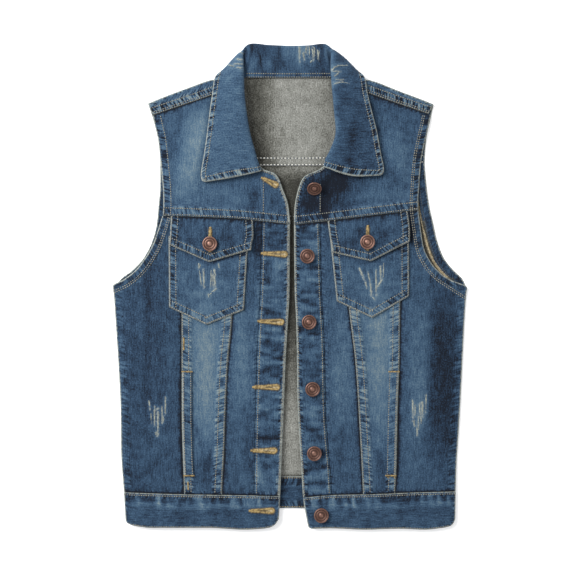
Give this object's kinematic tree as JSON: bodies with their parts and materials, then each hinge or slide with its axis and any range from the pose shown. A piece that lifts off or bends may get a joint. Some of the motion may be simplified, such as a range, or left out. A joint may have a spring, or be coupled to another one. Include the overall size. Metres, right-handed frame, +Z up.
{
  "type": "denim vest",
  "caption": "Sleeveless washed denim vest with a folded collar, chest pockets with flaps and an open button front, laid flat on its back.",
  "frame": {"origin": "under the middle of the vest's bounding box, on the surface that it lies on", "axes": "+Y runs up the garment from the hem to the collar, +Z points up out of the surface, and +X runs across to the side with the buttons"},
  "size_m": [0.409, 0.5599, 0.0183],
  "materials": {
    "denim": "washed blue twill, worn pale at the edges",
    "faded_denim": "twill faded to pale blue grey",
    "denim_inside": "wrong side of the twill, grey beige",
    "copper": "aged copper, satin"
  },
  "bodies": {
    "root": {"yoke_front_left": "denim", "yoke_front_right": "denim", "shoulder_left": "denim", "shoulder_right": "denim", "side_left": "denim", "side_right": "denim", "centre_left": "denim", "centre_right": "denim", "placket_left": "denim", "placket_right": "denim", "pocket_left": "denim", "pocket_right": "denim", "flap_left": "denim", "flap_right": "denim", "waistband_left": "denim", "waistband_right": "denim", "waistband_back": "denim", "collar": "denim", "wedge_left": "faded_denim", "wedge_right": "faded_denim", "welt_left": "faded_denim", "welt_right": "faded_denim", "back_side_left": "denim_inside", "back_side_right": "denim_inside", "back_centre": "denim_inside", "back_yoke": "denim_inside", "button_1": "copper", "button_2": "copper", "button_3": "copper", "button_4": "copper", "button_5": "copper", "button_6": "copper", "flap_button_left": "copper", "flap_button_right": "copper"}
  },
  "joints": []
}
